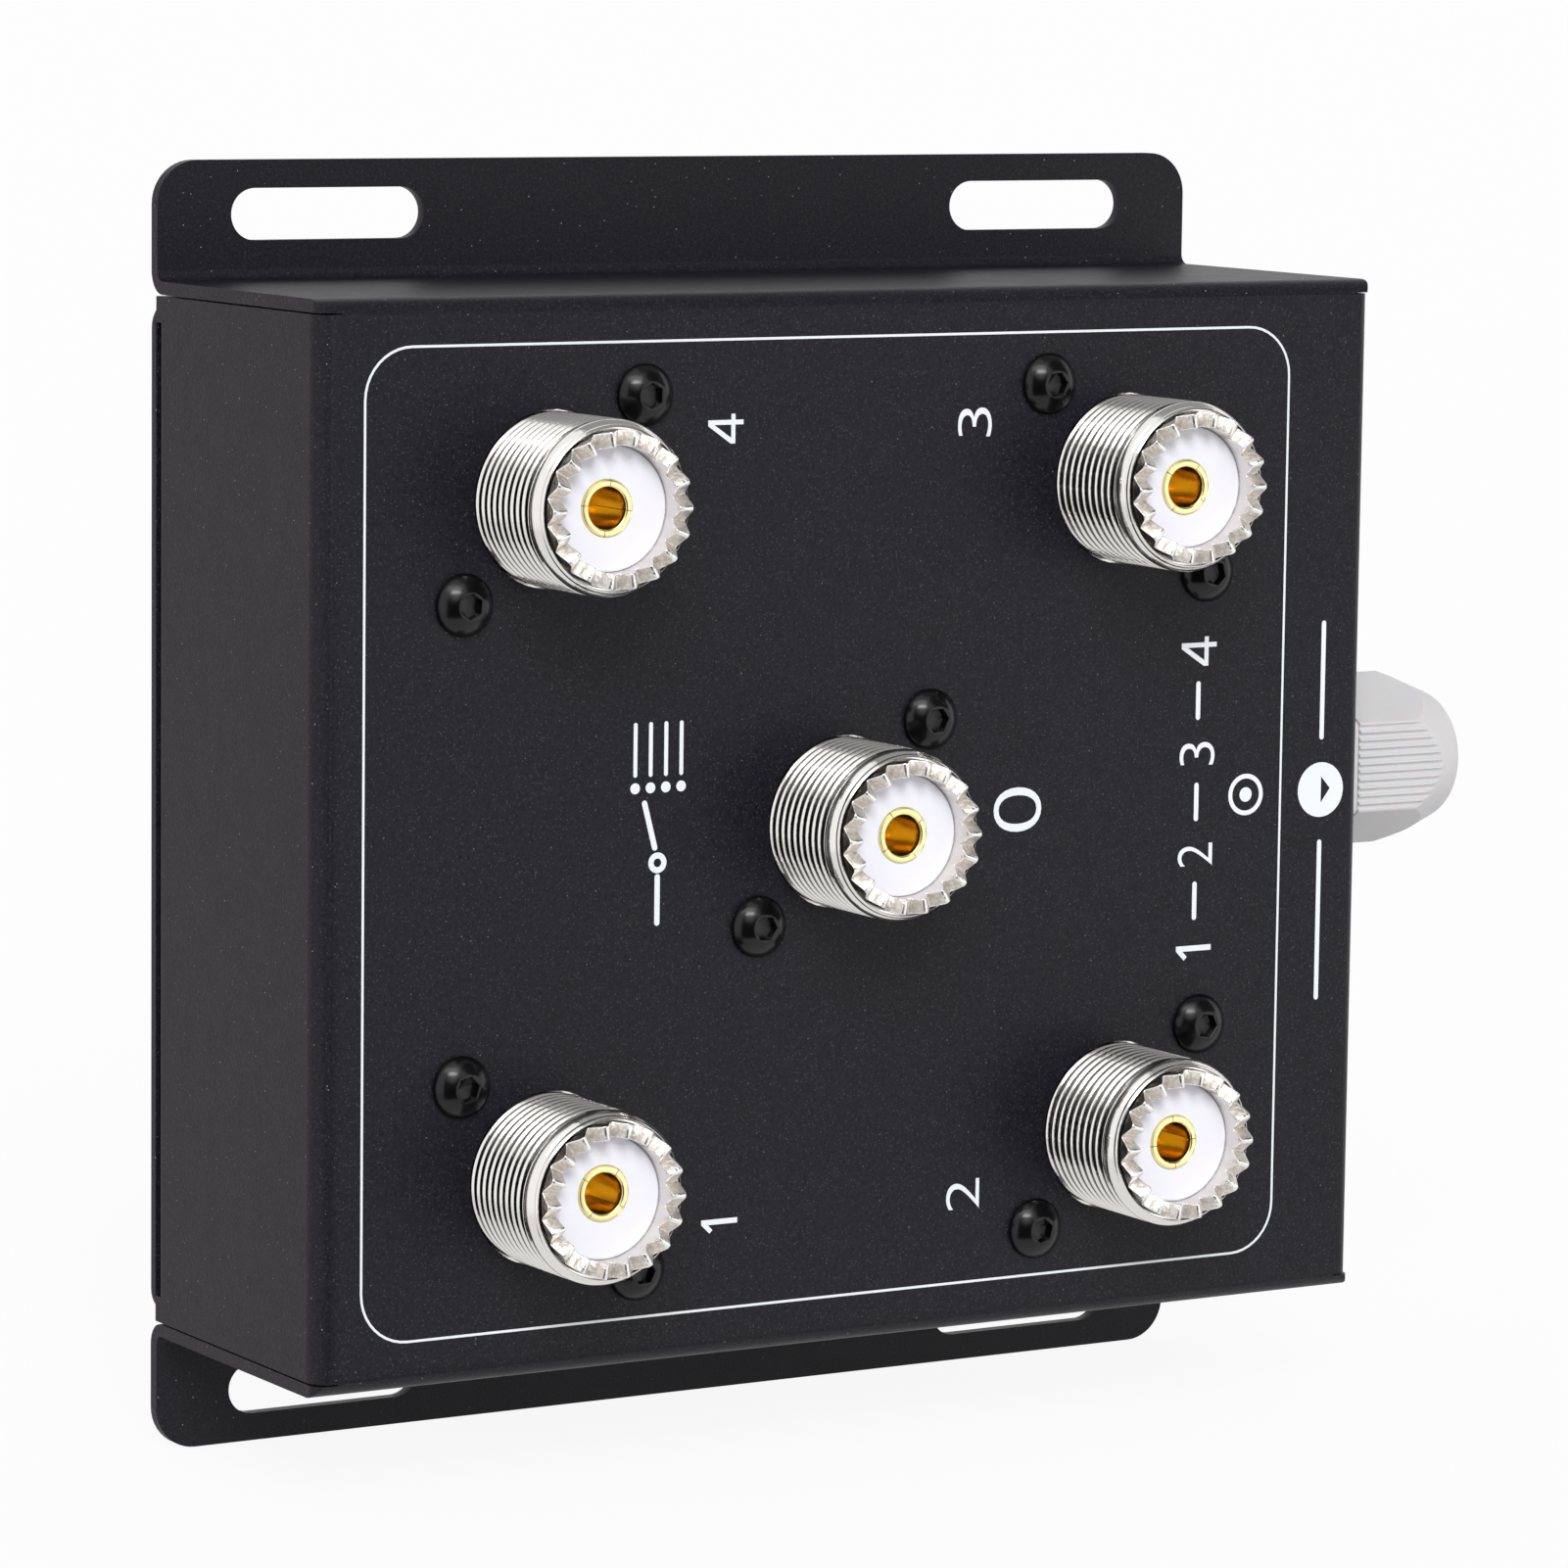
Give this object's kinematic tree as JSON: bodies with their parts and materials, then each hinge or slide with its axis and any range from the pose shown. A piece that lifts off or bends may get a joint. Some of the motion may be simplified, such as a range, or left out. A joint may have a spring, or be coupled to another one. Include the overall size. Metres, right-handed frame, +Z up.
{
  "type": "coaxial antenna switch",
  "caption": "Wall-mounted remote antenna switch: a flat folded-steel box with threaded coaxial sockets on its front, relays on a board inside and a gland for the control cable.",
  "frame": {"origin": "centre of the four mounting slots, in the plane of the flanges' rear faces that lie on the wall", "axes": "+X right along the front panel towards the cable gland, +Z up, +Y back into the wall, so the sockets point along -Y"},
  "size_m": [0.1333, 0.0467, 0.12],
  "materials": {
    "black_powder_coat": "fine-textured satin black powder coat on folded steel",
    "black_oxide_steel": "black oxide, slightly oily",
    "nickel_plate": "bright nickel plate",
    "white_insulator": "smooth white fluoropolymer",
    "gold_plate": "gold plate",
    "zinc_plate": "zinc plate",
    "circuit_board": "green solder mask",
    "black_moulding": "moulded black",
    "copper_wire": "enamelled copper winding",
    "soft_iron": "plated soft iron",
    "contact_brass": "stamped contact brass",
    "relay_case": "moulded blue",
    "terminal_green": "moulded green",
    "ceramic_orange": "dipped ceramic",
    "black_rubber": "matt black rubber",
    "natural_nylon": "natural white nylon, slightly translucent"
  },
  "bodies": {
    "root": {"enclosure": "black_powder_coat", "rear_cover": "black_powder_coat", "cover_screws": "black_oxide_steel", "socket_shell_1": "nickel_plate", "socket_shell_2": "nickel_plate", "socket_shell_3": "nickel_plate", "socket_shell_4": "nickel_plate", "socket_shell_feed": "nickel_plate", "insulator_1": "white_insulator", "insulator_2": "white_insulator", "insulator_3": "white_insulator", "insulator_4": "white_insulator", "insulator_feed": "white_insulator", "contact_1": "gold_plate", "contact_2": "gold_plate", "contact_3": "gold_plate", "contact_4": "gold_plate", "contact_feed": "gold_plate", "socket_screws": "black_oxide_steel", "socket_nuts": "zinc_plate", "board_standoffs": "zinc_plate", "circuit_board": "circuit_board", "board_screws": "zinc_plate", "relay_base_1": "black_moulding", "relay_base_2": "black_moulding", "relay_base_3": "black_moulding", "relay_base_4": "black_moulding", "relay_coil_1": "copper_wire", "relay_coil_2": "copper_wire", "relay_coil_3": "copper_wire", "relay_coil_4": "copper_wire", "relay_yoke_1": "soft_iron", "relay_yoke_2": "soft_iron", "relay_yoke_3": "soft_iron", "relay_yoke_4": "soft_iron", "relay_contacts_1": "contact_brass", "relay_contacts_2": "contact_brass", "relay_contacts_3": "contact_brass", "relay_contacts_4": "contact_brass", "relay_case_1": "relay_case", "relay_case_2": "relay_case", "relay_case_3": "relay_case", "relay_case_4": "relay_case", "terminal_block": "terminal_green", "terminal_screws": "zinc_plate", "flyback_diodes": "black_moulding", "bypass_capacitors": "ceramic_orange", "gland_gasket": "black_rubber", "gland_body": "natural_nylon", "gland_lock_nut": "natural_nylon"},
    "seal": {"gland_seal": "black_rubber"},
    "dome_nut": {"gland_dome_nut": "natural_nylon"},
    "armature_1": {"relay_armature_1": "soft_iron"},
    "armature_2": {"relay_armature_2": "soft_iron"},
    "armature_3": {"relay_armature_3": "soft_iron"},
    "armature_4": {"relay_armature_4": "soft_iron"}
  },
  "joints": [
    {"name": "dome_nut_travel", "type": "slide", "parent": "root", "child": "seal", "axis": [1, 0, 0], "range_m": [0, 0.006]},
    {"name": "dome_nut_turn", "type": "hinge", "parent": "seal", "child": "dome_nut", "pos_m": [0.07, -0.017, 0.0005], "axis": [1, 0, 0], "range_deg": [0, 1440]},
    {"name": "armature_1_swing", "type": "hinge", "parent": "root", "child": "armature_1", "pos_m": [-0.0098, -0.0093, -0.0154], "axis": [0, 0, 1], "range_deg": [0, 3], "stiffness_Nm_per_rad": 0.02, "springref_deg": -2.86},
    {"name": "armature_2_swing", "type": "hinge", "parent": "root", "child": "armature_2", "pos_m": [0.021, -0.0093, -0.0154], "axis": [0, 0, 1], "range_deg": [0, 3], "stiffness_Nm_per_rad": 0.02, "springref_deg": -2.86},
    {"name": "armature_3_swing", "type": "hinge", "parent": "root", "child": "armature_3", "pos_m": [0.021, -0.0093, 0.0154], "axis": [0, 0, 1], "range_deg": [0, 3], "stiffness_Nm_per_rad": 0.02, "springref_deg": -2.86},
    {"name": "armature_4_swing", "type": "hinge", "parent": "root", "child": "armature_4", "pos_m": [-0.0098, -0.0093, 0.0154], "axis": [0, 0, 1], "range_deg": [0, 3], "stiffness_Nm_per_rad": 0.02, "springref_deg": -2.86}
  ],
  "couplings": [
    {"joint": "dome_nut_turn", "follows": "dome_nut_travel", "rad_per_m": 4188.8}
  ]
}
